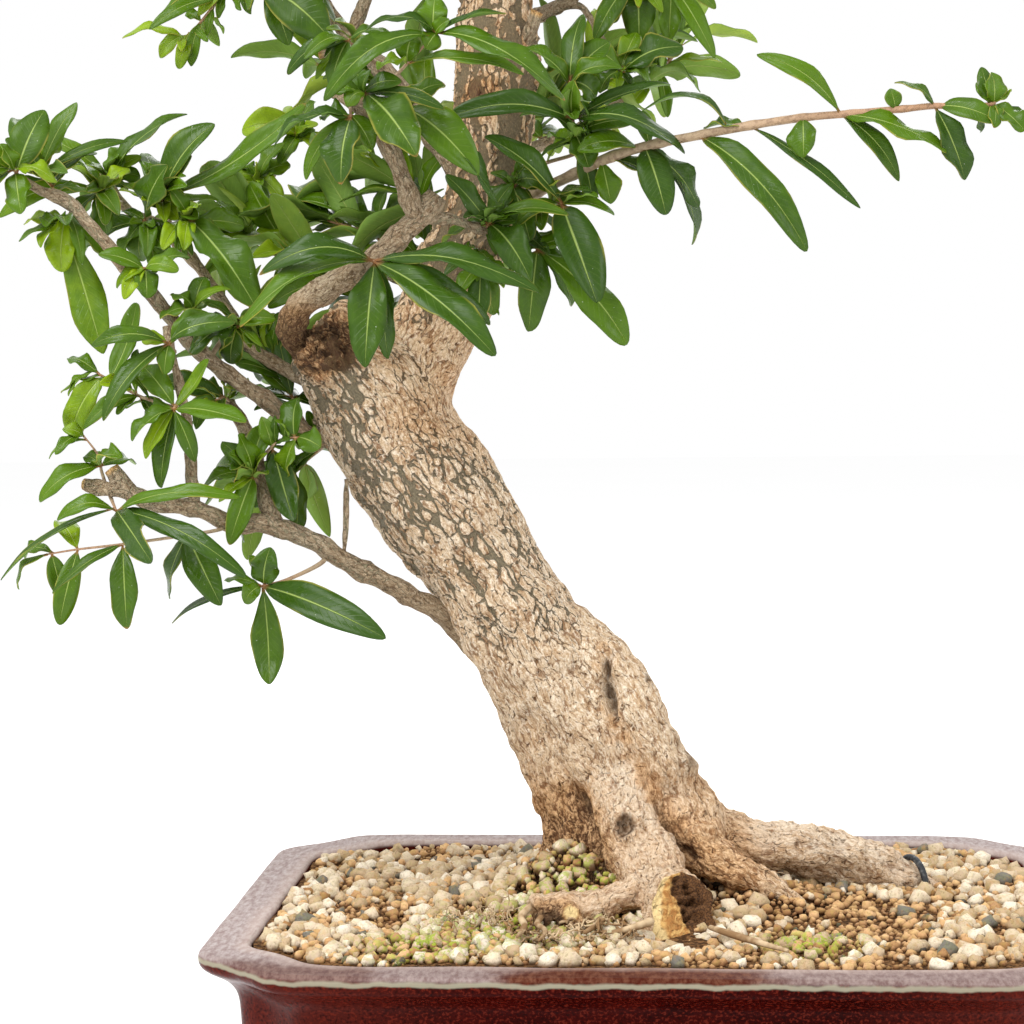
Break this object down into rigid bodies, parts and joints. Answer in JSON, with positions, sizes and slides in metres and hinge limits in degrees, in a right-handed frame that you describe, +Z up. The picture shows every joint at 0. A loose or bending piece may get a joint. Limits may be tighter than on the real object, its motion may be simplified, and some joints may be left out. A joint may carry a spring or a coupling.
{
  "type": "pomegranate bonsai",
  "caption": "Leaning pomegranate bonsai with a thick flaky trunk, surface roots and lance-shaped leaves, planted in grit in a shallow rectangular glazed pot.",
  "frame": {"origin": "middle of the whole tree's box, on the surface that the pot's feet stand on", "axes": "+Z up, +X to the right along the pot's long side, +Y to the back of the pot"},
  "size_m": [0.4872, 0.2992, 0.685],
  "materials": {
    "glaze": "glossy oxblood glaze, dusty mauve on the rim's top",
    "grit": "rough, dry pumice and akadama grains",
    "bark": "matt, flaky bark with lengthwise fissures",
    "tie": "matt black",
    "leaf": "waxy green leaves with a pale midrib"
  },
  "bodies": {
    "root": {"pot": "glaze", "soil": "grit", "trunk": "bark", "tie_wire": "tie", "shoot_long_shoot": "leaf", "shoot_low_branch_tip": "leaf", "shoot_low_branch_twig": "leaf", "shoot_low_branch_under": "leaf", "shoot_low_stub_sprout": "leaf", "shoot_low_sprig_foot": "leaf", "shoot_low_sprig_side": "leaf", "shoot_low_sprig_middle": "leaf", "shoot_left_branch_dark": "leaf", "shoot_low_riser_top": "leaf", "shoot_low_riser_foot": "leaf", "shoot_low_riser_hanging": "leaf", "shoot_left_branch_end": "leaf", "shoot_left_branch_upper": "leaf", "shoot_left_stub_long": "leaf", "shoot_left_branch_hanging": "leaf", "shoot_left_stub_fork": "leaf", "shoot_left_stub_middle": "leaf", "shoot_left_stub_upper": "leaf", "shoot_left_stub_foot": "leaf", "shoot_left_branch_middle": "leaf", "shoot_left_branch_inner": "leaf", "shoot_back_left_foot": "leaf", "shoot_back_left_middle": "leaf", "shoot_back_left_top": "leaf", "shoot_front_branch_hand": "leaf", "shoot_front_riser_hanging": "leaf", "shoot_front_riser_face": "leaf", "shoot_front_riser_foot": "leaf", "shoot_front_riser_top": "leaf", "shoot_upper_left_inner": "leaf", "shoot_upper_left_big": "leaf", "shoot_upper_left_end": "leaf", "shoot_long_shoot_fork": "leaf", "shoot_leader_glossy": "leaf", "shoot_cross_twig_top": "leaf", "shoot_leader_inner": "leaf", "shoot_leader_drooping": "leaf", "shoot_cross_twig_hanging": "leaf", "shoot_drooping_twig_tuft": "leaf", "shoot_upper_right_tufts": "leaf", "shoot_crown_left_end": "leaf", "shoot_crown_left_mid": "leaf", "shoot_crown_right_end": "leaf", "shoot_crown_right_mid": "leaf", "shoot_crown_front_end": "leaf", "shoot_crown_front_mid": "leaf", "shoot_crown_back_end": "leaf", "shoot_crown_back_mid": "leaf", "shoot_crown_top": "leaf", "shoot_crown_upper_right": "leaf", "shoot_crown_upper_left": "leaf", "shoot_back_right_end": "leaf", "shoot_back_right_mid": "leaf"}
  },
  "joints": []
}
